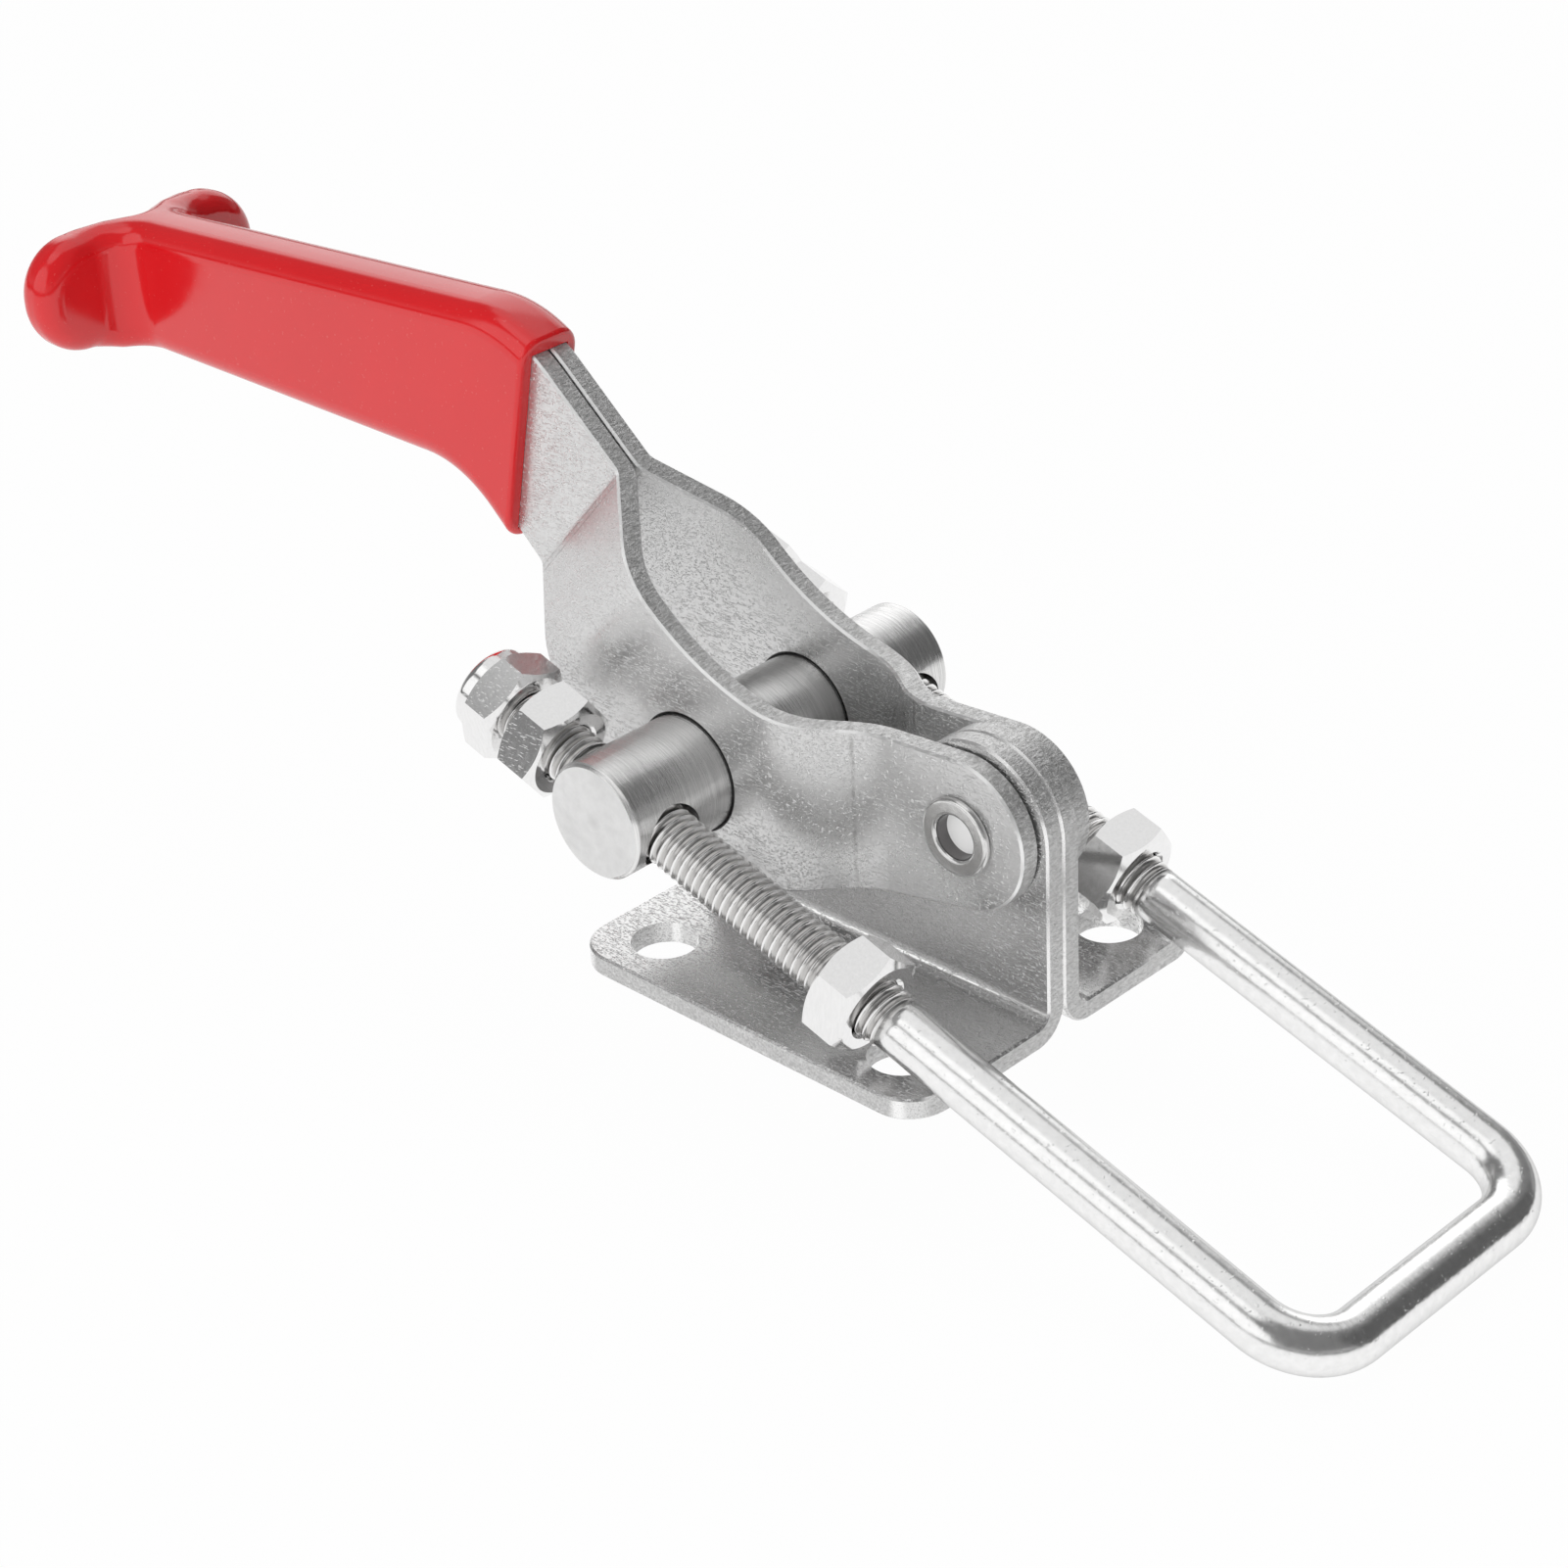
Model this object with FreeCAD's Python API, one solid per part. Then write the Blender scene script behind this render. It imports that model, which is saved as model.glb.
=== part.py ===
import FreeCAD, Part
import os
from math import acos, atan2, cos, degrees, hypot, pi, radians, sin, sqrt, tan

# Over centre toggle latch with a hook bolt. Millimetres, +Z up.
# The origin is the middle of the four base holes, on the underside of the base.
# +X points to the hook, +Y is the left side, the handle is down (latched).

V = FreeCAD.Vector

# Sheet metal
sheet = 3.0                 # brackets and handle plates
bend_inner_r = 2.0          # inside radius between web and flange
edge_break = 0.3            # tumbled outer edges

# Base brackets, an L each, standing back to back
base_length = 60.0
base_half_width = 28.0
base_corner_r = 6.0
bolt_pitch_x = 41.5
bolt_pitch_y = 39.6
bolt_hole_r = 4.5

# Pivot of the handle, measured from the base holes
pivot_x = 18.8
pivot_z = 27.4
rivet_r = 4.0
rivet_running_gap = 0.05    # radial, where the brackets turn on the rivet
rivet_head_r = 5.3
rivet_head_height = 1.1
rivet_bore_r = 3.0
rivet_bore_depth = 2.2
plate_side_gap = 0.4        # between a bracket and a handle plate

# Trunnion, measured from the pivot with the handle down
trunnion_back = 41.3
trunnion_drop = 3.3
trunnion_r = 8.0
trunnion_length = 58.0
trunnion_chamfer = 0.5
trunnion_end_wall = 1.8     # beside the cross holes
trunnion_running_gap = 0.1  # radial, in the handle plates
stop_gap = 0.25             # over the brackets, where the trunnion comes to rest

# Handle plates, outlines measured from the pivot
plate_end_r = 10.2
nose_top_slope = 4.1        # degrees, top edge beside the pivot
nose_bottom_slope = 11.0
neck_top_r = 41.0
shaft_slope = 40.2          # rise of the shaft towards the grip
knee_x = -79.1              # corner where shaft and grip meet, along the top
knee_z = 45.7
knee_r = 19.0
grip_top_slope = 4.2
shaft_belly_slope = 42.7
belly_x = -43.4             # corner of the lower edge, below the trunnion
belly_r = 16.0
heel_z = 24.2               # underside of the plates inside the grip
heel_r = 20.0
arm_reach = 17.6            # half length of the T, over the metal
arm_bend_r = 5.5            # inside radius, where the shaft's end turns into the arm
arm_low = 25.5              # the arms are narrower than the shaft
arm_top = 38.8
arm_shoulder = 9.5          # from the middle plane to where the arms get narrow
arm_end_r = 6.0
arm_mid_x = -164.8          # middle of the T's sheet

# Side steps of the handle plates, from the middle plane to the inner face
bulge_half_gap = 9.2
grip_half_gap = 0.15
front_crease_x = -16.5      # upright creases beside the pivot
bulge_crease_x = -25.5
crease_slope = 42.0         # the shaft's creases lie square to this direction
bulge_crease_run = 51.5
grip_crease_run = 64.4
front_crease_r = 12.0       # inside radii
bulge_crease_r = 13.0
grip_crease_r = 2.0

# Vinyl grip
vinyl = 1.9
vinyl_on_arms = 2.3         # front and back of the arms
grip_fit = 0.05
mouth_top_x = -75.1
mouth_top_z = 43.6
mouth_bottom_x = -80.8
mouth_bottom_z = 17.5
mouth_lip_r = 0.8
grip_edge_r = 3.3
grip_web_r = 5.0            # inside corner between shaft and arms
grip_arm_end_r = 8.2
grip_ramp_r = 6.0           # where the arms rise to the shaft's height
grip_seam_x = -115.0        # from here on the sleeve follows the shaft's outline
dip_half_width = 9.0        # hollow in the T's back, between the two bends
dip_depth = 4.6
dip_side_r = 8.0
dip_r = 2.2

# Hook bolt, measured along its legs from the trunnion's axis
hook_slope = -17.8          # degrees, the legs lie just over the base's front edge
rod_r = 3.55
thread_r = 3.95
hook_reach = 113.2          # to the axis of the cross bar
hook_corner_r = 8.6
leg_tail = 28.3
thread_end_right = 47.8
thread_end_left = 51.3
cross_hole_r = 4.6
thread_end_chamfer = 0.4

# Nuts
nut_across_flats = 13.0
nut_height = 6.5
nut_bore_gap = 0.05
nut_chamfer_slope = 32.0
nut_chamfer_width = 0.45    # from the flats inwards
front_nut_right_at = 40.9
front_nut_left_at = 45.0
front_nut_right_turn = 22.2
front_nut_left_turn = 7.0
jam_nut_at = -14.4
jam_nut_right_turn = 10.0
jam_nut_left_turn = 20.0
lock_nut_hex = 5.5
lock_nut_height = 7.8
lock_nut_gap = 1.85
lock_nut_right_turn = 40.0
lock_nut_left_turn = 8.0
lock_collar_r = 5.95
ring_outer_r = 5.0
ring_height = 1.9
ring_lip = 0.45

# Values that follow from the ones above
web_top_r = base_length / 2 - pivot_x
plate_inner = sheet + plate_side_gap
trunnion_x = pivot_x - trunnion_back
trunnion_z = pivot_z - trunnion_drop
leg_half_spacing = trunnion_length / 2 - trunnion_end_wall - cross_hole_r
hook_dir = V(cos(radians(hook_slope)), 0, sin(radians(hook_slope)))
hook_up = V(-sin(radians(hook_slope)), 0, cos(radians(hook_slope)))
BIG = 400.0


def rounded(corners, place):
    """A closed wire through corners (a, b, radius); place turns (a, b) into a point."""
    edges = []
    n = len(corners)
    ends = []
    for i in range(n):
        a, b, r = corners[i]
        pa, pb = corners[i - 1][0] - a, corners[i - 1][1] - b
        qa, qb = corners[(i + 1) % n][0] - a, corners[(i + 1) % n][1] - b
        lp, lq = hypot(pa, pb), hypot(qa, qb)
        pa, pb, qa, qb = pa / lp, pb / lp, qa / lq, qb / lq
        half = 0.5 * abs(atan2(pa * qb - pb * qa, pa * qa + pb * qb))
        if r <= 0 or half > 0.4999 * pi:
            ends.append(((a, b), None, (a, b)))
            continue
        back = r / tan(half)
        ma, mb = pa + qa, pb + qb
        lm = hypot(ma, mb)
        far = r / sin(half) - r
        ends.append(((a + pa * back, b + pb * back),
                     (a + ma / lm * far, b + mb / lm * far),
                     (a + qa * back, b + qb * back)))
    for i in range(n):
        start, mid, stop = ends[i]
        if mid is not None:
            edges.append(Part.Arc(place(*start), place(*mid), place(*stop)).toShape())
        nxt = ends[(i + 1) % n][0]
        if hypot(nxt[0] - stop[0], nxt[1] - stop[1]) > 1e-6:
            edges.append(Part.makeLine(place(*stop), place(*nxt)))
    return Part.Wire(edges)


def prism(corners, place, low, high):
    """The rounded outline made solid from vector low to vector high."""
    face = Part.Face(rounded(corners, place))
    face.translate(low)
    return face.extrude(high - low)


def offset_path(path, distance):
    """The path moved to its left by distance, with mitred corners."""
    lines = []
    for (xa, ya), (xb, yb) in zip(path, path[1:]):
        length = hypot(xb - xa, yb - ya)
        lines.append(((xb - xa) / length, (yb - ya) / length))
    out = []
    for i, (x, y) in enumerate(path):
        before = lines[max(i - 1, 0)]
        after = lines[min(i, len(lines) - 1)]
        nx, ny = -(before[1] + after[1]), before[0] + after[0]
        scale = distance / (nx * -before[1] + ny * before[0])
        out.append((x + nx * scale, y + ny * scale))
    return out


def bent_strip(path, thickness, bend_radii):
    """Corners of a sheet seen from its edge: the path is one face, and the sheet is to its left.

    A negative thickness puts the sheet to the path's right. Each bend has its inside radius.
    """
    other = offset_path(path, thickness)
    near, far = [], []
    for i, (x, y) in enumerate(path):
        near_r = far_r = 0.0
        if 0 < i < len(path) - 1:
            (xa, ya), (xb, yb) = path[i - 1], path[i + 1]
            left_turn = (x - xa) * (yb - y) - (y - ya) * (xb - x) > 0
            sheet_inside = left_turn == (thickness > 0)
            inner_r = bend_radii[i - 1]
            outer_r = inner_r + abs(thickness)
            near_r = outer_r if sheet_inside else inner_r
            far_r = inner_r if sheet_inside else outer_r
        near.append((x, y, near_r))
        far.append((other[i][0], other[i][1], far_r))
    return near + far[::-1]


def in_plan(x, y):
    return V(x, y, 0)


def in_side(x, z):
    return V(x, 0, z)


def in_front(y, z):
    return V(0, y, z)


def quarter_round(start, stop, centre):
    """An arc of a quarter turn or so from start to stop about centre."""
    middle = (start + stop) * 0.5 - centre
    middle.normalize()
    return Part.Arc(start, centre + middle * (start - centre).Length, stop).toShape()


def cylinder_between(start, stop, r):
    return Part.makeCylinder(r, (stop - start).Length, start, stop - start)


def mirrored(shape):
    return shape.mirror(V(0, 0, 0), V(0, 1, 0))


def sharp_edges(body):
    """The edges where two faces meet at a clear angle."""
    found = []
    for e in body.Edges:
        faces = body.ancestorsOfType(e, Part.Face)
        if len(faces) == 2:
            middle = e.valueAt((e.FirstParameter + e.LastParameter) / 2)
            a, b = [f.normalAt(*f.Surface.parameter(middle)) for f in faces]
            if a.dot(b) < 0.5:
                found.append(e)
    return found


def base_bracket_left():
    half = base_length / 2
    # section seen from the front: upright web and flange joined by the bend
    section = bent_strip([(base_half_width, 0), (0, 0), (0, pivot_z + web_top_r + 1)],
                         -sheet, [bend_inner_r])
    body = prism(section, in_front, V(-half, 0, 0), V(half, 0, 0))
    # side outline: round over the pivot, low seat for the trunnion behind it
    seat_z = trunnion_z - trunnion_r - stop_gap
    rear = -half
    seat_front = trunnion_x + trunnion_r
    away_x, away_z = seat_front - pivot_x, seat_z - pivot_z
    tip = atan2(away_z, away_x) + 2 * pi - acos(web_top_r / hypot(away_x, away_z))
    touch = (pivot_x + web_top_r * cos(tip), pivot_z + web_top_r * sin(tip))
    edges = [
        Part.makeLine(in_side(rear, 0), in_side(half, 0)),
        Part.makeLine(in_side(half, 0), in_side(half, pivot_z)),
        Part.Arc(in_side(half, pivot_z),
                 in_side(pivot_x + web_top_r * cos(tip / 2), pivot_z + web_top_r * sin(tip / 2)),
                 in_side(*touch)).toShape(),
        Part.makeLine(in_side(*touch), in_side(seat_front, seat_z)),
        Part.makeLine(in_side(seat_front, seat_z), in_side(rear + base_corner_r, seat_z)),
        quarter_round(in_side(rear + base_corner_r, seat_z), in_side(rear, seat_z - base_corner_r),
                      in_side(rear + base_corner_r, seat_z - base_corner_r)),
        Part.makeLine(in_side(rear, seat_z - base_corner_r), in_side(rear, 0)),
    ]
    side = Part.Face(Part.Wire(edges))
    side.translate(V(0, -1, 0))
    body = body.common(side.extrude(V(0, base_half_width + 2, 0)))
    plan = [(-half, -1, 0), (half, -1, 0), (half, base_half_width, base_corner_r),
            (-half, base_half_width, base_corner_r)]
    body = body.common(prism(plan, in_plan, V(0, 0, 0), V(0, 0, BIG)))
    body = body.makeChamfer(edge_break, sharp_edges(body))
    for x in (-bolt_pitch_x / 2, bolt_pitch_x / 2):
        body = body.cut(Part.makeCylinder(bolt_hole_r, 2 * sheet, V(x, bolt_pitch_y / 2, -sheet / 2)))
    hole_r = rivet_r + rivet_running_gap
    return body.cut(Part.makeCylinder(hole_r, 3 * sheet, V(pivot_x, -sheet, pivot_z), V(0, 1, 0)))


def handle_outline(grow=0.0, longer=0.0):
    """Side outline of a handle plate, from the pivot's end to the T."""
    up, down = radians(nose_top_slope), radians(nose_bottom_slope)
    r = plate_end_r
    rise, belly = tan(radians(shaft_slope)), tan(radians(shaft_belly_slope))
    grip_run = tan(radians(grip_top_slope))
    # top edge beside the pivot: z = nose_z + tan(up) * x, tangent to the round end
    nose_z = r / cos(up)
    chin_z = -r / cos(down)
    neck_x = (knee_z + rise * knee_x - nose_z) / (rise + tan(up))
    belly_z = chin_z + tan(down) * belly_x
    heel_x = belly_x - (heel_z - belly_z) / belly
    tail_x = arm_mid_x - sheet / 2 - longer
    corners = [
        (r, nose_z + tan(up) * r, r),
        (neck_x, nose_z + tan(up) * neck_x, neck_top_r),
        (knee_x, knee_z, knee_r),
        (tail_x, knee_z + grip_run * (tail_x - knee_x), 0),
        (tail_x, heel_z, 0),
        (heel_x, heel_z, heel_r),
        (belly_x, belly_z, belly_r),
        (r, chin_z + tan(down) * r, r),
    ]
    face = Part.Face(rounded(corners, in_side))
    if grow > 0:
        face = face.makeOffset2D(grow)
    face.translate(V(pivot_x, 0, pivot_z))
    return face


def handle_slab(grow, half_width, longer=0.0):
    face = handle_outline(grow, longer)
    face.translate(V(0, -half_width, 0))
    return face.extrude(V(0, 2 * half_width, 0))


def box_between(x_low, x_high):
    return Part.makeBox(x_high - x_low, BIG, BIG, V(x_low, -BIG / 2, -BIG / 2))


def handle_plate_left(grow=0.0):
    """One handle plate: the side outline, cut out of a sheet with two side steps and a bent end."""
    t = sheet + 2 * grow
    front_radii = [front_crease_r - grow, bulge_crease_r - grow]
    rear_radii = [bulge_crease_r - grow, grip_crease_r - grow]
    end_radii = [arm_bend_r - grow]
    arm_back = arm_mid_x - sheet / 2 - grow
    zones = []
    # beside the pivot and round the trunnion, upright creases
    path = [(2 * plate_end_r, plate_inner - grow), (front_crease_x, plate_inner - grow),
            (bulge_crease_x, bulge_half_gap - grow), (-bulge_crease_run, bulge_half_gap - grow)]
    front = prism(bent_strip(path, -t, front_radii), in_plan,
                  V(pivot_x, 0, -BIG / 2), V(pivot_x, 0, BIG / 2))
    zones.append(front.common(box_between(trunnion_x + sheet, BIG)))
    # up the shaft, creases square to the shaft
    lean = radians(crease_slope)
    path = [(0, bulge_half_gap - grow), (bulge_crease_run, bulge_half_gap - grow),
            (grip_crease_run, grip_half_gap - grow), (BIG / 2, grip_half_gap - grow)]
    along = V(-cos(lean), 0, sin(lean))
    crease = V(sin(lean), 0, cos(lean))
    middle = V(pivot_x, 0, pivot_z)
    rear = prism(bent_strip(path, t, rear_radii), lambda a, y: along * a + V(0, y, 0),
                 middle - crease * BIG, middle + crease * BIG)
    end_zone = pivot_x + arm_mid_x + 4 * sheet
    zones.append(rear.common(box_between(end_zone, trunnion_x + sheet)))
    # the end turns outwards as one arm of the T
    path = [(arm_mid_x + 8 * sheet, grip_half_gap - grow), (arm_back, grip_half_gap - grow),
            (arm_back, arm_reach + grow)]
    end = prism(bent_strip(path, -t, end_radii), in_plan,
                V(pivot_x, 0, -BIG / 2), V(pivot_x, 0, BIG / 2))
    low, top, shoulder = arm_low - grow, arm_top + grow, arm_shoulder + grow
    front_view = [(-BIG, -BIG, 0), (shoulder, -BIG, 0), (shoulder, low, 0), (BIG, low, 0),
                  (BIG, top, 0), (shoulder, top, 0), (shoulder, BIG, 0), (-BIG, BIG, 0)]
    narrow = prism(front_view, in_front, V(-BIG, 0, pivot_z), V(0, 0, pivot_z))
    zones.append(end.common(box_between(-BIG / 2, end_zone)).common(narrow))
    body = zones[0].fuse(zones[1]).fuse(zones[2])
    body = body.common(handle_slab(grow, BIG / 2, sheet)).removeSplitter()
    # the arm's end is round
    tips = [e for e in body.Edges
            if abs(e.CenterOfMass.y - arm_reach - grow) < 1e-3
            and abs(e.Vertexes[0].X - e.Vertexes[-1].X) > sheet / 2]
    body = body.makeFillet(arm_end_r, tips)
    if grow > 0:
        return body
    # the arms stay sharp, they are inside the sleeve
    body = body.makeChamfer(edge_break, [e for e in sharp_edges(body) if e.BoundBox.XMax > end_zone])
    hole = trunnion_r + trunnion_running_gap
    body = body.cut(Part.makeCylinder(hole, BIG, V(trunnion_x, 0, trunnion_z), V(0, 1, 0)))
    return body.cut(Part.makeCylinder(rivet_r, BIG, V(pivot_x, 0, pivot_z), V(0, 1, 0)))


def grip_top_at(x):
    """Height of the sleeve's top line over the pivot."""
    slope = radians(grip_top_slope)
    return knee_z + tan(slope) * (x - knee_x) + vinyl / cos(slope)


def ramped(side, height, half):
    """Front view of the sleeve, open on one side, with the arms nearer to the middle by height."""
    run = grip_web_r
    inner = half + 1
    return [(-BIG, -side * BIG, 0), (-BIG, -side * height, 0),
            (-inner - run, -side * height, grip_ramp_r), (-inner, 0, grip_ramp_r),
            (inner, 0, grip_ramp_r), (inner + run, -side * height, grip_ramp_r),
            (BIG, -side * height, 0), (BIG, -side * BIG, 0)]


def grip_blank(half, arm_front, arm_back, arm_y):
    """The sleeve as a block with sharp edges, before its mouth is cut."""
    plan = [(0, half, 0), (arm_front, half, grip_web_r), (arm_front, arm_y, 0), (arm_back, arm_y, 0),
            (arm_back, dip_half_width, dip_side_r), (arm_back + dip_depth, 0, dip_r),
            (arm_back, -dip_half_width, dip_side_r),
            (arm_back, -arm_y, 0), (arm_front, -arm_y, 0), (arm_front, -half, grip_web_r), (0, -half, 0)]
    end = prism(plan, in_plan, V(pivot_x, 0, -BIG / 2), V(pivot_x, 0, BIG / 2))
    end = end.common(box_between(-BIG / 2, pivot_x + grip_seam_x))
    drop = grip_top_at(arm_mid_x) - vinyl - arm_top
    tail, head = 2 * arm_mid_x, 0
    end = end.common(prism(ramped(1, drop, half), in_front,
                           V(pivot_x + tail, 0, pivot_z + grip_top_at(tail)),
                           V(pivot_x + head, 0, pivot_z + grip_top_at(head))))
    low = pivot_z + heel_z - vinyl
    end = end.common(prism(ramped(-1, arm_low - heel_z, half), in_front,
                           V(pivot_x + tail, 0, low), V(pivot_x + head, 0, low)))
    shaft = handle_slab(vinyl, half, 4 * sheet)
    shaft = shaft.common(box_between(pivot_x + grip_seam_x, BIG))
    return end.fuse(shaft).removeSplitter()


def grip():
    """Dipped vinyl sleeve over both plates, with its T end."""
    half = grip_half_gap + sheet + vinyl
    arm_front = arm_mid_x + sheet / 2 + vinyl_on_arms
    arm_back = arm_mid_x - sheet / 2 - vinyl_on_arms
    arm_y = arm_reach + vinyl
    body = grip_blank(half, arm_front, arm_back, arm_y)
    # open mouth, cut off square to the side view
    lean = atan2(mouth_top_x - mouth_bottom_x, mouth_top_z - mouth_bottom_z)
    mouth_n = V(cos(lean), 0, -sin(lean))
    mouth_p = V(pivot_x + mouth_top_x, 0, pivot_z + mouth_top_z)
    cutter = Part.makeBox(BIG, BIG, BIG, V(0, -BIG / 2, -BIG / 2))
    cutter.rotate(V(0, 0, 0), V(0, 1, 0), degrees(lean))
    cutter.translate(mouth_p)
    body = body.cut(cutter)
    tips = [e for e in body.Edges
            if abs(abs(e.CenterOfMass.y) - arm_y) < 1e-3
            and abs(e.Vertexes[0].X - e.Vertexes[-1].X) > vinyl]
    body = body.makeFillet(grip_arm_end_r, tips)
    soft = [e for e in sharp_edges(body)
            if any(abs((v.Point - mouth_p).dot(mouth_n)) > 1e-3 for v in e.Vertexes)]
    body = body.makeFillet(grip_edge_r, soft)
    lip = [e for e in body.Edges
           if all(abs((v.Point - mouth_p).dot(mouth_n)) < 1e-3 for v in e.Vertexes)]
    body = body.makeFillet(mouth_lip_r, lip)
    plate = handle_plate_left(grip_fit)
    body = body.cut(plate).cut(mirrored(plate))
    return body.cut(handle_slab(grip_fit, 2 * grip_half_gap))


def pivot_rivet():
    """Semi tubular rivet: rolled rim on the right, low head on the left."""
    outer = plate_inner + sheet
    rim = rivet_head_height / 2
    tip = -outer - rivet_head_height
    head = outer + rivet_head_height
    floor = tip + rivet_bore_depth
    corners = [V(0, floor, 0), V(rivet_bore_r, floor, 0), V(rivet_bore_r, tip + rim, 0)]
    edges = [Part.makeLine(p, q) for p, q in zip(corners, corners[1:])]
    edges.append(quarter_round(corners[-1], V(rivet_bore_r + rim, tip, 0),
                               V(rivet_bore_r + rim, tip + rim, 0)))
    edges.append(Part.makeLine(V(rivet_bore_r + rim, tip, 0), V(rivet_head_r - rim, tip, 0)))
    edges.append(Part.Arc(V(rivet_head_r - rim, tip, 0), V(rivet_head_r, tip + rim, 0),
                          V(rivet_head_r - rim, -outer, 0)).toShape())
    corners = [V(rivet_head_r - rim, -outer, 0), V(rivet_r, -outer, 0), V(rivet_r, outer, 0),
               V(rivet_head_r, outer, 0), V(rivet_head_r, head - rim, 0)]
    edges += [Part.makeLine(p, q) for p, q in zip(corners, corners[1:])]
    edges.append(quarter_round(corners[-1], V(rivet_head_r - rim, head, 0),
                               V(rivet_head_r - rim, head - rim, 0)))
    corners = [V(rivet_head_r - rim, head, 0), V(0, head, 0), V(0, floor, 0)]
    edges += [Part.makeLine(p, q) for p, q in zip(corners, corners[1:])]
    body = Part.Face(Part.Wire(edges)).revolve(V(0, 0, 0), V(0, 1, 0), 360)
    body.translate(V(pivot_x, 0, pivot_z))
    return body


def leg_origin(side):
    return V(trunnion_x, side * leg_half_spacing, trunnion_z)


def trunnion():
    half = trunnion_length / 2
    body = Part.makeCylinder(trunnion_r, trunnion_length, V(trunnion_x, -half, trunnion_z), V(0, 1, 0))
    rims = [e for e in body.Edges if isinstance(e.Curve, Part.Circle)]
    body = body.makeChamfer(trunnion_chamfer, rims)
    for side in (-1, 1):
        start = leg_origin(side) - hook_dir * (2 * trunnion_r)
        body = body.cut(Part.makeCylinder(cross_hole_r, 4 * trunnion_r, start, hook_dir))
    return body


def u_bolt():
    """Hook bolt: two threaded legs, two bends and the cross bar."""
    r = hook_corner_r
    side_dir = V(0, 1, 0)
    body = None
    for side, thread_end in ((-1, thread_end_right), (1, thread_end_left)):
        origin = leg_origin(side)
        thread = cylinder_between(origin - hook_dir * leg_tail, origin + hook_dir * thread_end, thread_r)
        rims = [e for e in thread.Edges if isinstance(e.Curve, Part.Circle)]
        thread = thread.makeChamfer(thread_end_chamfer, rims)
        rod = cylinder_between(origin, origin + hook_dir * (hook_reach - r), rod_r)
        centre = origin + hook_dir * (hook_reach - r) - side_dir * (side * r)
        circle = Part.Circle(origin + hook_dir * (hook_reach - r), hook_dir, rod_r)
        disc = Part.Face(Part.Wire(circle.toShape()))
        bend = disc.revolve(centre, hook_up * -side, 90)
        leg = thread.fuse(rod).fuse(bend)
        body = leg if body is None else body.fuse(leg)
    left = leg_origin(-1) + hook_dir * hook_reach + side_dir * r
    right = leg_origin(1) + hook_dir * hook_reach - side_dir * r
    return body.fuse(cylinder_between(left, right, rod_r)).removeSplitter()


def hexagon(height):
    """A hex blank with chamfered corners at both ends, standing on z = 0."""
    corner = nut_across_flats / sqrt(3)
    points = [V(corner * cos(k * pi / 3), corner * sin(k * pi / 3), 0) for k in range(7)]
    blank = Part.Face(Part.makePolygon(points)).extrude(V(0, 0, height))
    flat = nut_across_flats / 2 - nut_chamfer_width
    wide = corner + 1
    drop = (wide - flat) * tan(radians(nut_chamfer_slope))
    outline = Part.makePolygon([V(0, 0, 0), V(flat, 0, 0), V(wide, 0, drop), V(wide, 0, height - drop),
                                V(flat, 0, height), V(0, 0, height), V(0, 0, 0)])
    return blank.common(Part.Face(outline).revolve(V(0, 0, 0), V(0, 0, 1), 360))


def nut_bore(height):
    bore_r = thread_r + nut_bore_gap
    sink = 0.5
    body = Part.makeCylinder(bore_r, height + 2, V(0, 0, -1))
    body = body.fuse(Part.makeCone(bore_r + sink, bore_r, sink, V(0, 0, 0)))
    return body.fuse(Part.makeCone(bore_r, bore_r + sink, sink, V(0, 0, height - sink)))


def on_leg(shape, side, at, turn):
    """Put a shape made along +Z onto a leg; turn is the angle of a corner from +Y."""
    side_dir = V(0, 1, 0)
    turned = hook_dir.cross(side_dir)
    start = leg_origin(side) + hook_dir * at
    a = radians(turn)
    x_dir = side_dir * cos(a) + turned * sin(a)
    y_dir = hook_dir.cross(x_dir)
    frame = FreeCAD.Matrix(x_dir.x, y_dir.x, hook_dir.x, start.x,
                           x_dir.y, y_dir.y, hook_dir.y, start.y,
                           x_dir.z, y_dir.z, hook_dir.z, start.z, 0, 0, 0, 1)
    out = shape.copy()
    out.Placement = FreeCAD.Placement(frame).multiply(out.Placement)
    return out


def plain_nut(side, middle, turn):
    body = hexagon(nut_height).cut(nut_bore(nut_height))
    return on_leg(body, side, middle - nut_height / 2, turn)


def lock_nut_place():
    """Distance along the leg of the lock nut's collar end."""
    return jam_nut_at - nut_height / 2 - lock_nut_gap - lock_nut_height


def lock_nut(side, turn):
    """Nut with a round collar at its tail end that holds a nylon ring."""
    collar = lock_nut_height - lock_nut_hex
    hexed = hexagon(lock_nut_hex)
    hexed.translate(V(0, 0, collar))
    dome = Part.makeCylinder(lock_collar_r, collar + 0.8)
    rim = [e for e in dome.Edges if isinstance(e.Curve, Part.Circle) and e.CenterOfMass.z < 0.01]
    dome = dome.makeFillet(collar * 0.5, rim)
    body = hexed.fuse(dome).removeSplitter()
    body = body.cut(Part.makeCylinder(ring_outer_r, ring_height, V(0, 0, ring_lip)))
    body = body.cut(Part.makeCylinder(ring_outer_r - ring_lip, 2 * ring_lip, V(0, 0, -ring_lip)))
    body = body.cut(Part.makeCylinder(thread_r + nut_bore_gap, lock_nut_height + 2, V(0, 0, -1)))
    return on_leg(body, side, lock_nut_place(), turn)


def nylon_ring(side):
    body = Part.makeCylinder(ring_outer_r, ring_height, V(0, 0, ring_lip))
    body = body.cut(Part.makeCylinder(thread_r + nut_bore_gap, ring_height + 2, V(0, 0, -1)))
    return on_leg(body, side, lock_nut_place(), 0)


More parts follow.
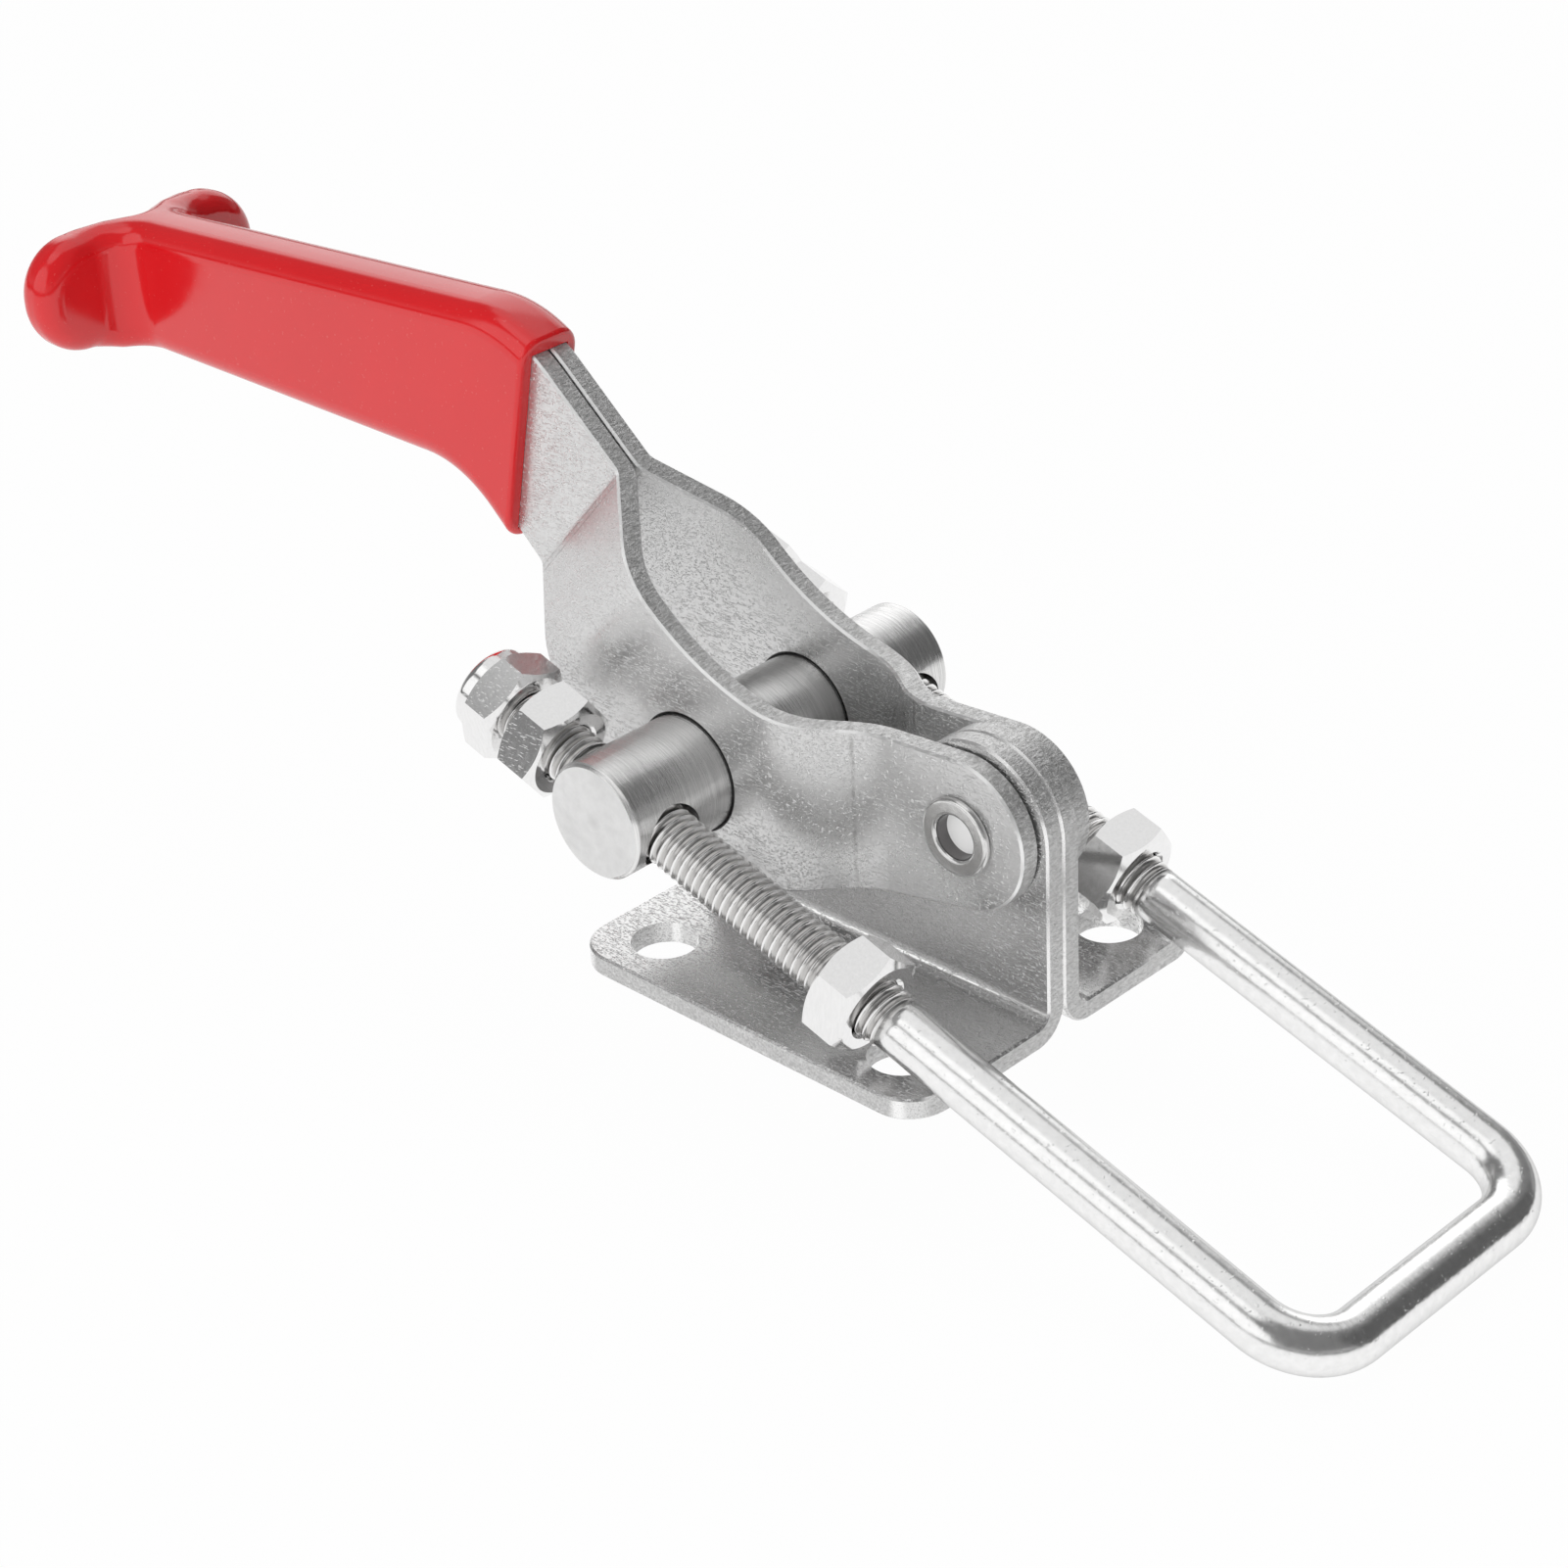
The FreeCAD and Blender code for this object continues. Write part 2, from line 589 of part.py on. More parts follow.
def main():
    os.makedirs("parts", exist_ok=True)
    bracket = base_bracket_left()
    plate = handle_plate_left()
    parts = {
        "base_bracket_left": bracket,
        "base_bracket_right": mirrored(bracket),
        "handle_plate_left": plate,
        "handle_plate_right": mirrored(plate),
        "grip": grip(),
        "pivot_rivet": pivot_rivet(),
        "trunnion": trunnion(),
        "u_bolt": u_bolt(),
        "front_nut_right": plain_nut(-1, front_nut_right_at, front_nut_right_turn),
        "front_nut_left": plain_nut(1, front_nut_left_at, front_nut_left_turn),
        "jam_nut_right": plain_nut(-1, jam_nut_at, jam_nut_right_turn),
        "jam_nut_left": plain_nut(1, jam_nut_at, jam_nut_left_turn),
        "lock_nut_right": lock_nut(-1, lock_nut_right_turn),
        "lock_nut_left": lock_nut(1, lock_nut_left_turn),
        "nylon_ring_right": nylon_ring(-1),
        "nylon_ring_left": nylon_ring(1),
    }
    for name, shape in parts.items():
        solids = shape.Solids
        box = shape.BoundBox
        print(name, "valid", shape.isValid(), "solids", len(solids), "volume", round(shape.Volume, 1),
              "x", round(box.XMin, 1), round(box.XMax, 1), "y", round(box.YMin, 1), round(box.YMax, 1),
              "z", round(box.ZMin, 1), round(box.ZMax, 1))
        solids[0].exportStep("parts/" + name + ".step")


main()
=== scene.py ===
from math import cos, pi, radians, sin

import bpy
from mathutils import Matrix, Vector

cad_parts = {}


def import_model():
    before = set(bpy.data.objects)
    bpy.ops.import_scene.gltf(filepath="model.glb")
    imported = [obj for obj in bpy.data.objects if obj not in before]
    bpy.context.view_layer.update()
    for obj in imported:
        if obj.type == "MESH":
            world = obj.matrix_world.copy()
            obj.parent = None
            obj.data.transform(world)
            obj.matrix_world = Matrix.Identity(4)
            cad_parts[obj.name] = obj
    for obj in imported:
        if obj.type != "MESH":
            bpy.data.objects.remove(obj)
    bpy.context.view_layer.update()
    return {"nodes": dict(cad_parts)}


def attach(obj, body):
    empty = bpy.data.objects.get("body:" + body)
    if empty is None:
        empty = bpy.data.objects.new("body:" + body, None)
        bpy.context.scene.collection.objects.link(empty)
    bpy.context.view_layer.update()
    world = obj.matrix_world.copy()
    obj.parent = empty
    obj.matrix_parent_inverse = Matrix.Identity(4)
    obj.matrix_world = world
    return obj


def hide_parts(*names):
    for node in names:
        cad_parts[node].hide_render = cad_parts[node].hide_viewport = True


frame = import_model()
nodes = frame["nodes"]

MM = 0.001
WHITE = (1, 1, 1, 1)

# Sizes of the solids that the materials follow, in millimetres
PIVOT_X = 18.8
PIVOT_Z = 27.4
RIVET_BORE_R = 3.0
SHADOW_R = 8.30            # outside of the shadow line round the trunnion's hole
BASE_HALF = 28.0           # from the middle plane to a flange's cut edge
ABOVE_BEND = 8.5           # a height clear of a bracket's bend
GRIP_HALF = 5.05           # just under half the sleeve's width
CREASE_SLOPE = radians(42.0)
GRIP_CREASE_RUN = 64.4     # from the pivot up the creases' slope
CREASE_LINE_OFF = 0.4      # from the crease to the dark line on each side
FRONT_LINE_X = 2.1         # of the dark line at the crease beside the pivot

# Sizes of the hook bolt, in millimetres, as in the solids
TRUNNION = Vector((-22.5, 0, 24.1))
SLOPE = radians(-17.8)
HOOK = Vector((cos(SLOPE), 0, sin(SLOPE)))
SIDE = Vector((0, 1, 0))
UP = Vector((-sin(SLOPE), 0, cos(SLOPE)))
LEG = 22.6                 # from the middle plane to a leg's axis
ROD_R = 3.55
REACH = 113.2              # along the legs to the axis of the cross bar
CORNER_R = 8.6
TAIL = -28.3
THREAD_END = {-1: 47.8, 1: 51.3}
PITCH = 1.25
CREST_R = 3.95
ROOT_R = 3.42
TAIL_CHAMFER = 0.8         # length along the leg
CHAMFER_RISE = 1.1         # radius per length
RUN_OUT = 1.6              # length in which the thread fades into the rod
UNDER_ROD = 0.03           # depth of the thread's skin under the rod's at its end
SKIN_OVERLAP = 0.3         # the thread's skin goes this far on under the rod's
ROD_OVERLAP = 1.0          # and the rod's starts this far before the thread's end
END_FACE_IN = 0.002        # the tail's flat end lies this far inside it

# Steps of the hook bolt's meshes
LEG_STEPS = 24
BEND_STEPS = 20
BAR_STEPS = 14
ROD_AROUND = 56
THREAD_AROUND = 44

# One pitch of the thread: part of the pitch, part of the height from root to crest
THREAD_PROFILE = [(0.00, 0.0), (0.10, 0.0), (0.20, 0.07), (0.35, 0.55), (0.44, 0.93), (0.50, 1.0),
                  (0.56, 0.93), (0.65, 0.55), (0.80, 0.07), (0.90, 0.0)]

# Scratches on the sheets: two turns in degrees and a seed for each direction
SCRATCHES = [(12, 20, 1.0), (-35, -24, 5.0), (62, 66, 9.0), (-78, -70, 14.0), (33, 41, 21.0)]


# Shader helpers

def rgba(value):
    """A colour of three numbers with its alpha added; a socket or a number as it is."""
    if isinstance(value, tuple) and len(value) == 3:
        return value + (1,)
    return value


class Tree:
    """A node tree whose nodes are added by kind, with each input a number or a link."""

    def __init__(self, node_tree):
        self.nodes = node_tree.nodes
        self.links = node_tree.links
        self.nodes.clear()

    def put(self, socket, value):
        if isinstance(value, bpy.types.NodeSocket):
            self.links.new(value, socket)
        else:
            socket.default_value = value

    def add(self, kind, values=None, **settings):
        node = self.nodes.new(kind)
        for key, value in settings.items():
            setattr(node, key, value)
        for key, value in (values or {}).items():
            self.put(node.inputs[key], value)
        return node

    def maths(self, operation, a, b=0.0, clamp=False):
        return self.add("ShaderNodeMath", {0: a, 1: b}, operation=operation, use_clamp=clamp).outputs[0]

    def plus(self, a, b):
        return self.maths("ADD", a, b)

    def minus(self, a, b, clamp=False):
        return self.maths("SUBTRACT", a, b, clamp)

    def times(self, a, b):
        return self.maths("MULTIPLY", a, b)

    def absolute(self, a):
        return self.maths("ABSOLUTE", a)

    def share(self, a, b, part):
        """A mean of two values that takes this part of the second one."""
        return self.plus(self.times(a, 1 - part), self.times(b, part))

    def most(self, values):
        out = values[0]
        for value in values[1:]:
            out = self.maths("MAXIMUM", out, value)
        return out

    def radius(self, a, b):
        """Distance from the axis where both values are 0."""
        return self.maths("SQRT", self.plus(self.maths("POWER", a, 2.0), self.maths("POWER", b, 2.0)))

    def fit(self, value, low, high, out_low=0.0, out_high=1.0, smooth=False):
        """The value mapped from one range to another and held at its ends."""
        values = {"Value": value, "From Min": low, "From Max": high, "To Min": out_low, "To Max": out_high}
        curve = "SMOOTHSTEP" if smooth else "LINEAR"
        return self.add("ShaderNodeMapRange", values, clamp=True, interpolation_type=curve).outputs[0]

    def split(self, vector):
        return self.add("ShaderNodeSeparateXYZ", {"Vector": vector}).outputs

    def vector(self, operation, a, b):
        return self.add("ShaderNodeVectorMath", {0: a, 1: tuple(b)}, operation=operation).outputs

    def blend(self, fac, a, b):
        return self.add("ShaderNodeMix", {0: fac, 6: rgba(a), 7: rgba(b)}, data_type="RGBA").outputs[2]


class Material(Tree):
    """A material with its object coordinates and its normal at hand."""

    def __init__(self, name):
        self.mat = bpy.data.materials.new(name)
        self.mat.use_nodes = True
        super().__init__(self.mat.node_tree)
        coords = self.add("ShaderNodeTexCoord").outputs
        self.place = coords["Object"]
        self.px, self.py, self.pz = self.split(self.place)
        self.nx, self.ny, self.nz = self.split(coords["Normal"])

    def mapped(self, scale, turn=(0, 0, 0), shift=(0, 0, 0)):
        return self.add("ShaderNodeMapping", {"Vector": self.place, "Scale": scale,
                                              "Rotation": turn, "Location": shift}).outputs[0]

    def noise(self, scale, detail, rough, place=None):
        return self.add("ShaderNodeTexNoise", {"Scale": scale, "Detail": detail, "Roughness": rough,
                                               "Vector": place or self.place}).outputs["Fac"]

    def streaks(self, turn, length, width, cut, seed):
        """Thin lines along the turned X axis, their sizes in millimetres; 1 on a line, 0 elsewhere."""
        across = 1 / (width * MM)
        place = self.mapped((1 / (length * MM), across, across), turn, (seed, seed * 1.7, seed * 0.6))
        return self.fit(self.noise(1.0, 1.0, 0.5, place), cut, cut + 0.07)

    def off_axis(self, x, z):
        """Distance from the axis across the latch through this place, given in millimetres."""
        return self.radius(self.minus(self.px, x * MM), self.minus(self.pz, z * MM))

    def bump(self, height, strength, distance, normal=None):
        values = {"Height": height, "Strength": strength, "Distance": distance}
        if normal is not None:
            values["Normal"] = normal
        return self.add("ShaderNodeBump", values).outputs[0]

    def finish(self, shader):
        self.add("ShaderNodeOutputMaterial", {"Surface": shader.outputs[0]})
        return self.mat

    def surface(self, **values):
        names = {"color": "Base Color", "rough": "Roughness", "normal": "Normal", "metallic": "Metallic",
                 "specular": "Specular IOR Level", "ior": "IOR", "rim": "Specular Tint"}
        inputs = {names[key]: rgba(value) for key, value in values.items()}
        return self.finish(self.add("ShaderNodeBsdfPrincipled", inputs))


# Materials

def sheared_edge(t, base):
    """Where the sheet was cut: 1 on its outline, 0 on its faces."""
    upright = t.fit(t.absolute(t.ny), 0.35, 0.2)
    if not base:
        return upright
    ends = t.fit(t.absolute(t.nx), 0.80, 0.95)
    web = t.times(upright, t.fit(t.pz, (ABOVE_BEND - 1.5) * MM, ABOVE_BEND * MM))
    flange = t.times(t.fit(t.absolute(t.py), (BASE_HALF - 0.8) * MM, (BASE_HALF - 0.4) * MM),
                     t.fit(t.nz, 0.8, 0.6))
    return t.most([ends, web, flange])


def crease_lines(t):
    """Two thin dark lines beside the crease at the grip, and a third one at the crease beside the pivot.
    """
    run = t.minus(t.times(t.minus(t.pz, PIVOT_Z * MM), sin(CREASE_SLOPE)),
                  t.times(t.minus(t.px, PIVOT_X * MM), cos(CREASE_SLOPE)))
    marks = []
    for value, place, width in ((run, GRIP_CREASE_RUN + CREASE_LINE_OFF, 0.10),
                                (run, GRIP_CREASE_RUN - CREASE_LINE_OFF, 0.10),
                                (t.px, FRONT_LINE_X, 0.22)):
        away = t.absolute(t.minus(value, place * MM))
        marks.append(t.fit(away, width * 1.6 * MM, width * 0.4 * MM))
    return t.times(t.most(marks), t.fit(t.noise(600, 2, 0.6), 0.42, 0.58, 0.35, 1.0))


def sheet_steel(name, base):
    """Tumbled stainless sheet: fine grain, short scratches, rough sheared edges."""
    t = Material(name)
    if base:
        grain_scale, smooth, dull, cut_shade, depth = 2400, 0.15, 0.26, 0.50, 0.17
    else:
        grain_scale, smooth, dull, cut_shade, depth = 1400, 0.25, 0.34, 0.62, 0.15
    ny = t.absolute(t.ny)
    edge = sheared_edge(t, base)
    cloud = t.noise(70, 3, 0.55)
    grain = t.noise(grain_scale, 3, 0.7)
    fine = t.noise(3400, 2, 0.6)
    specks = t.fit(t.noise(2300, 1, 0.5), 0.61, 0.70)
    lines = [t.streaks((0, radians(a), radians(b)), 1.6, 0.18, 0.67, seed) for a, b, seed in SCRATCHES]
    worn = t.most(lines + [specks])
    cut_grain = t.noise(1.0, 3, 0.75, t.mapped((2600, 900, 2600)))
    rough = t.fit(t.share(cloud, grain, 0.4), 0.3, 0.7, smooth, dull)
    rough = t.plus(rough, t.times(edge, 0.12))
    shade = t.fit(t.share(cloud, grain, 0.6), 0.35, 0.65)
    color = t.blend(shade, (0.66, 0.658, 0.656), (0.77, 0.768, 0.766))
    color = t.blend(t.times(worn, 0.40), color, (0.92, 0.92, 0.915))
    cut_dark = t.times(edge, t.fit(cut_grain, 0.38, 0.62, 0.0, cut_shade))
    color = t.blend(cut_dark, color, (0.30, 0.297, 0.292))
    if not base:
        # darker along thin lines beside the creases
        mark = t.times(crease_lines(t), t.minus(1.0, edge))
        color = t.blend(t.times(mark, 0.45), color, (0.25, 0.245, 0.24))
        # the shadow line round the trunnion
        away = t.off_axis(TRUNNION.x, TRUNNION.z)
        color = t.blend(t.fit(away, (SHADOW_R + 0.12) * MM, SHADOW_R * MM), color, (0.015, 0.014, 0.014))
    # the broken edges are smooth, and painted bright as a highlight
    chamfer_highlight = t.times(t.fit(ny, 0.76, 0.72), t.fit(ny, 0.50, 0.62))
    if base:
        chamfer_highlight = t.times(chamfer_highlight, t.fit(t.pz, 3.4 * MM, 4.4 * MM))
    color = t.blend(chamfer_highlight, color, (0.92, 0.918, 0.915))
    plain = t.minus(1.0, chamfer_highlight)
    if base:
        # a painted highlight along the inside of the bend, where the metal is also smoother
        bend = t.times(t.times(t.fit(ny, 0.78, 0.86), t.fit(ny, 0.97, 0.92)),
                       t.fit(t.pz, (ABOVE_BEND + 1.0) * MM, ABOVE_BEND * MM))
        color = t.blend(bend, color, (0.93, 0.928, 0.925))
        rough = t.minus(rough, t.times(bend, 0.08))
        plain = t.minus(plain, t.times(bend, 0.7), clamp=True)
    normal = t.bump(t.times(plain, t.plus(grain, t.times(fine, 0.5))), depth, 0.10 * MM)
    normal = t.bump(t.times(plain, worn), 0.8, 0.07 * MM, normal)
    normal = t.bump(t.times(edge, cut_grain), 0.8, 0.20 * MM, normal)
    # scratches scatter light, so they stay pale where the plain metal is dark
    metal = t.minus(0.88, t.times(worn, 0.45))
    return t.surface(color=color, metallic=metal, rough=rough, normal=normal)


def turned_steel(name):
    """Turned bar: fine lines round the axis on the side, smooth pale ends."""
    t = Material(name)
    end = t.fit(t.absolute(t.ny), 0.8, 0.95)
    lines = t.noise(1.0, 3, 0.7, t.mapped((90, 5200, 90)))
    wide = t.noise(1.0, 2, 0.5, t.mapped((60, 900, 60)))
    grain = t.noise(1300, 2, 0.6)
    color = t.blend(t.fit(lines, 0.35, 0.65), (0.66, 0.657, 0.655), (0.86, 0.857, 0.85))
    # the ends are faced off, with a faint centre mark
    faced = t.share(t.noise(700, 3, 0.6), t.noise(160, 2, 0.5), 0.4)
    face = t.blend(t.fit(faced, 0.35, 0.65), (0.69, 0.688, 0.685), (0.78, 0.778, 0.775))
    centre = t.fit(t.off_axis(TRUNNION.x, TRUNNION.z), 1.3 * MM, 0.2 * MM, 0.0, 0.35)
    face = t.blend(centre, face, (0.45, 0.447, 0.443))
    color = t.blend(end, color, face)
    rough = t.fit(t.share(wide, grain, 0.5), 0.3, 0.7, 0.17, 0.26)
    rough = t.plus(rough, t.times(end, 0.14))
    normal = t.bump(t.times(t.share(lines, wide, 0.3), t.minus(1.0, end)), 1.0, 0.07 * MM)
    normal = t.bump(grain, 0.25, 0.05 * MM, normal)
    return t.surface(color=color, metallic=0.90, rough=rough, normal=normal)


def rod_steel(name):
    """Bright drawn rod with small specks and faint lines along it."""
    t = Material(name)
    grain = t.noise(800, 3, 0.6)
    speck = t.fit(t.noise(1700, 1, 0.5), 0.66, 0.74)
    along = t.noise(1.0, 2, 0.5, t.mapped((60, 1600, 1600), (0, SLOPE, 0)))
    color = t.blend(t.fit(grain, 0.3, 0.7), (0.87, 0.868, 0.865), (0.95, 0.948, 0.945))
    rough = t.fit(t.share(grain, along, 0.5), 0.3, 0.7, 0.17, 0.25)
    normal = t.bump(t.plus(grain, t.times(along, 0.6)), 0.3, 0.06 * MM)
    normal = t.bump(speck, 0.4, 0.05 * MM, normal)
    return t.surface(color=color, metallic=1.0, rough=rough, normal=normal, rim=(0.70, 0.70, 0.70))


def thread_steel(name):
    """Rolled thread: duller in the roots than on the crests, and painted darker there as shade."""
    t = Material(name)
    place = t.vector("SUBTRACT", t.place, TRUNNION * MM)[0]
    across = t.minus(t.absolute(t.split(place)[1]), LEG * MM)
    above = t.vector("DOT_PRODUCT", place, UP)["Value"]
    crest = t.fit(t.radius(across, above), (ROOT_R + 0.05) * MM, (CREST_R - 0.12) * MM)
    # painted shade: the roots are darker than the crests
    color = t.blend(crest, (0.56, 0.55, 0.54), (0.90, 0.895, 0.89))
    rough = t.fit(crest, 0.0, 1.0, 0.30, 0.14)
    normal = t.bump(t.noise(1500, 3, 0.6), 0.3, 0.05 * MM)
    return t.surface(color=color, metallic=1.0, rough=rough, normal=normal)


def nut_steel(name):
    """Bright nut with a fine brushed grain."""
    t = Material(name)
    grain = t.noise(1.0, 3, 0.6, t.mapped((2600, 2600, 700)))
    scuff = t.streaks((0, radians(70), radians(20)), 2.2, 0.16, 0.66, 3.0)
    color = t.blend(t.fit(grain, 0.3, 0.7), (0.84, 0.837, 0.835), (0.89, 0.887, 0.885))
    rough = t.fit(grain, 0.3, 0.7, 0.08, 0.12)
    normal = t.bump(t.plus(t.times(grain, 0.30), scuff), 0.14, 0.03 * MM)
    return t.surface(color=color, metallic=1.0, rough=rough, normal=normal)


def rivet_steel(name):
    """Rolled rivet: bright rim; in its hollow end a wall painted dark as shade and a floor painted pale
    and matte as light.
    """
    t = Material(name)
    side = t.absolute(t.ny)
    away = t.off_axis(PIVOT_X, PIVOT_Z)
    grain = t.noise(1200, 2, 0.6)
    color = t.blend(t.fit(grain, 0.3, 0.7), (0.68, 0.677, 0.67), (0.80, 0.797, 0.79))
    # painted shade on the hollow's wall
    wall = t.times(t.fit(side, 0.45, 0.30),
                   t.fit(away, (RIVET_BORE_R + 0.25) * MM, (RIVET_BORE_R + 0.10) * MM))
    color = t.blend(wall, color, (0.16, 0.155, 0.155))
    # painted light: the hollow's floor is pale and nearly matte
    disc = t.times(t.fit(side, 0.6, 0.8), t.fit(away, RIVET_BORE_R * MM, (RIVET_BORE_R - 0.08) * MM))
    color = t.blend(disc, color, (0.88, 0.878, 0.875))
    metal = t.fit(disc, 0.0, 1.0, 0.92, 0.10)
    return t.surface(color=color, metallic=metal, rough=0.20, normal=t.bump(grain, 0.15, 0.05 * MM))


def vinyl(name):
    """Dipped vinyl: glossy, faintly uneven."""
    t = Material(name)
    wave = t.noise(60, 2, 0.5)
    skin = t.noise(450, 2, 0.5)
    dust = t.fit(t.noise(1900, 1, 0.5), 0.72, 0.75)
    color = t.blend(wave, (0.63, 0.007, 0.011), (0.70, 0.010, 0.014))
    color = t.blend(t.times(dust, 0.15), color, (0.80, 0.25, 0.22))
    rough = t.fit(skin, 0.3, 0.7, 0.11, 0.17)
    normal = t.bump(wave, 0.12, 0.30 * MM)
    normal = t.bump(skin, 0.10, 0.05 * MM, normal)
    # the dip leaves the sleeve's top and bottom crowned across their width
    half = GRIP_HALF * MM
    near = t.maths("MINIMUM", t.absolute(t.py), half)
    crown = t.maths("COSINE", t.times(near, pi / half))
    normal = t.bump(crown, 1.0, 0.12 * MM, normal)
    return t.surface(color=color, rough=rough, normal=normal, metallic=0.0, specular=0.68, ior=1.52)


def nylon(name):
    """Pale, dull nylon."""
    t = Material(name)
    grain = t.noise(600, 2, 0.5)
    color = t.blend(grain, (0.66, 0.66, 0.62), (0.74, 0.74, 0.70))
    return t.surface(color=color, rough=0.45, normal=t.bump(grain, 0.1, 0.05 * MM), metallic=0.0)


def dress(mat, *names):
    """Give the named CAD nodes this material."""
    for name in names:
        for slot in nodes[name].material_slots:
            slot.material = mat


dress(sheet_steel("bracket_steel", True), "base_bracket_left", "base_bracket_right")
dress(sheet_steel("plate_steel", False), "handle_plate_left", "handle_plate_right")
dress(vinyl("grip_vinyl"), "grip")
dress(rivet_steel("rivet_steel"), "pivot_rivet")
dress(turned_steel("trunnion_steel"), "trunnion")
dress(nut_steel("nut_steel"), "front_nut_right", "front_nut_left", "jam_nut_right", "jam_nut_left",
      "lock_nut_right", "lock_nut_left")
dress(nylon("nylon"), "nylon_ring_right", "nylon_ring_left")
rod_mat = rod_steel("bolt_steel")
thread_mat = thread_steel("thread_steel")


# The hook bolt

def at(a, y):
    """A point on the hook in metres, from millimetres along the legs and across."""
    return (TRUNNION + HOOK * a + SIDE * y) * MM


def spoke(k):
    """Direction of one of the thread's points, square to the leg."""
    w = 2 * pi * k / THREAD_AROUND
    return SIDE * cos(w) - UP * sin(w)


def piece(name, verts, faces, mat, smooth=True):
    """A mesh that moves with the hook."""
    mesh = bpy.data.meshes.new(name)
    mesh.from_pydata(verts, [], faces)
    mesh.validate()
    mesh.polygons.foreach_set("use_smooth", [smooth] * len(mesh.polygons))
    mesh.update()
    obj = bpy.data.objects.new(name, mesh)
    bpy.context.scene.collection.objects.link(obj)
    mesh.materials.append(mat)
    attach(obj, "hook")
    return obj


def hook_leg(start, end, side, direction):
    """Places and directions along a leg, with its end left to the next stretch."""
    return [(start + (end - start) * k / LEG_STEPS, side * LEG, direction) for k in range(LEG_STEPS)]


def hook_bend(side):
    """Places and directions round one bend; the right one comes first."""
    line = []
    for k in range(BEND_STEPS + 1):
        w = pi / 2 * (k / BEND_STEPS + (side > 0))
        line.append((REACH - CORNER_R + CORNER_R * sin(w), side * (LEG - CORNER_R) - CORNER_R * cos(w),
                     HOOK * cos(w) + SIDE * sin(w)))
    return line


def hook_bar():
    """Places and directions between the two bends."""
    half = LEG - CORNER_R
    return [(REACH, half * (2 * k / BAR_STEPS - 1), SIDE) for k in range(1, BAR_STEPS)]


def hook_rod():
    """One round rod along both legs, the two bends and the cross bar."""
    right, left = (THREAD_END[side] - ROD_OVERLAP for side in (-1, 1))
    far = REACH - CORNER_R
    line = hook_leg(right, far, -1, HOOK) + hook_bend(-1) + hook_bar() + hook_bend(1)
    line += hook_leg(left, far, 1, -HOOK)[::-1]
    verts, faces = [], []
    for a, y, direction in line:
        across = direction.cross(UP)
        for k in range(ROD_AROUND):
            w = 2 * pi * k / ROD_AROUND
            verts.append(at(a, y) + (across * cos(w) + UP * sin(w)) * ROD_R * MM)
    last = (len(line) - 1) * ROD_AROUND
    for row in range(0, last, ROD_AROUND):
        for k in range(ROD_AROUND):
            n = (k + 1) % ROD_AROUND
            faces.append((row + k, row + n, row + ROD_AROUND + n, row + ROD_AROUND + k))
    faces.append(tuple(range(ROD_AROUND))[::-1])
    faces.append(tuple(range(last, last + ROD_AROUND)))
    return piece("hook_rod", verts, faces, rod_mat)


def thread(side):
    """A rolled M8 thread as one helical skin from the leg's tail to where the rod begins."""
    end = THREAD_END[side]
    turns = int((end - TAIL) / PITCH) + 3
    rows = [(TAIL + (j + z) * PITCH, h) for j in range(-1, turns) for z, h in THREAD_PROFILE]
    at_end = ROD_R - UNDER_ROD
    verts, faces = [], []
    for start, h in rows:
        for k in range(THREAD_AROUND):
            a = start + PITCH * k / THREAD_AROUND
            fade = min(1.0, max(0.0, (end - a) / RUN_OUT))
            r = at_end + (ROOT_R + (CREST_R - ROOT_R) * h - at_end) * fade
            if a < TAIL + TAIL_CHAMFER:
                r = min(r, CREST_R - (TAIL + TAIL_CHAMFER - a) * CHAMFER_RISE)
            a = min(max(a, TAIL), end + SKIN_OVERLAP)
            verts.append(at(a, side * LEG) + spoke(k) * r * MM)
    pitch_rows = len(THREAD_PROFILE)
    for i in range(len(rows) - 1):
        row, after = i * THREAD_AROUND, (i + 1) * THREAD_AROUND
        for k in range(THREAD_AROUND - 1):
            faces.append((row + k, row + k + 1, after + k + 1, after + k))
        if i + pitch_rows + 1 < len(rows):
            # the last column joins the first one a pitch further on
            on = pitch_rows * THREAD_AROUND
            faces.append((after - 1, row + on, after + on, after + THREAD_AROUND - 1))
    return piece("thread_right" if side < 0 else "thread_left", verts, faces, thread_mat)


def end_face(side):
    """The chamfered tail's flat end."""
    centre = at(TAIL + END_FACE_IN, side * LEG)
    r = CREST_R - TAIL_CHAMFER * CHAMFER_RISE
    verts = [centre] + [centre + spoke(k) * r * MM for k in range(THREAD_AROUND)]
    faces = [(0, 1 + (k + 1) % THREAD_AROUND, 1 + k) for k in range(THREAD_AROUND)]
    name = "tail_end_right" if side < 0 else "tail_end_left"
    return piece(name, verts, faces, rod_mat, smooth=False)


for obj in [hook_rod(), thread(-1), thread(1)]:
    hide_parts("u_bolt")
for side in (-1, 1):
    end_face(side)


# The camera, fitted to the photograph: its size and focal length in pixels, its place in metres
PHOTO_SIZE = 1601
FOCAL_LENGTH = 3722.66
SENSOR = 36.0              # millimetres
EYE = (0.27662, -0.29112, 0.25100)
EYE_RIGHT = (0.72020, 0.69236, -0.04414)
EYE_UP = (-0.31173, 0.37979, 0.87097)
EYE_BACK = (0.61978, -0.61351, 0.48936)


def photo_camera():
    data = bpy.data.cameras.new("camera")
    data.sensor_width = SENSOR
    data.lens = SENSOR * FOCAL_LENGTH / PHOTO_SIZE
    data.clip_start = 0.01
    data.clip_end = 20
    cam = bpy.data.objects.new("camera", data)
    cam.matrix_world = Matrix((*zip(EYE_RIGHT, EYE_UP, EYE_BACK, EYE), (0, 0, 0, 1)))
    bpy.context.scene.collection.objects.link(cam)
    bpy.context.scene.camera = cam


# The floor lies just under the hook's cross bar, the latch's lowest place; sizes in metres
FLOOR_Z = -0.0146
FLOOR_HALF = 3.0

